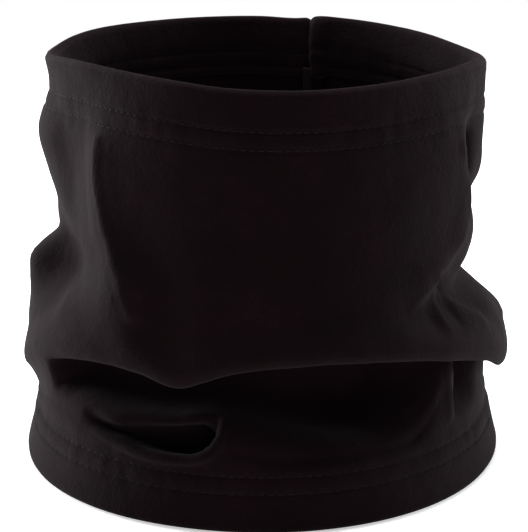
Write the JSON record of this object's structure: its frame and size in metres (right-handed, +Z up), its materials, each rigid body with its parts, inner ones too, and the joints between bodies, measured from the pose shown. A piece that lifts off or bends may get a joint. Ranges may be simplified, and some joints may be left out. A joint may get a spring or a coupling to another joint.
{
  "type": "neck gaiter",
  "caption": "Black fleece tube for the neck and lower face, open at both ends, with stitched hems, a back seam and one slouched fold.",
  "frame": {"origin": "centre of the bottom hem, on the surface the gaiter stands on", "axes": "+Z up along the tube from the bottom opening to the top opening, +Y towards the back seam"},
  "size_m": [0.1794, 0.1794, 0.147],
  "materials": {
    "fleece": "brushed black polyester fleece, matte with a soft pile",
    "seam_allowance": "cut edge of the same fleece, matte",
    "sewing_thread": "black spun polyester thread, slight sheen",
    "looper_thread": "black textured polyester thread, soft and matte"
  },
  "bodies": {
    "lower": {"bottom_band": "fleece", "slouch_fold": "fleece", "bottom_hem_needle_thread_a": "sewing_thread", "bottom_hem_needle_thread_b": "sewing_thread", "bottom_hem_looper_thread": "looper_thread", "back_seam_fold": "seam_allowance", "overlock_thread_fold": "looper_thread"},
    "upper": {"upper_tube": "fleece", "top_hem_needle_thread_a": "sewing_thread", "top_hem_needle_thread_b": "sewing_thread", "top_hem_looper_thread": "looper_thread", "back_seam_upper": "seam_allowance", "overlock_thread_upper": "looper_thread"}
  },
  "joints": [
    {"name": "slouch_pull_up", "type": "slide", "parent": "lower", "child": "upper", "axis": [0, 0, 1], "range_m": [-0.01, 0.035], "deforming": ["slouch_fold", "back_seam_fold", "overlock_thread_fold"]}
  ]
}
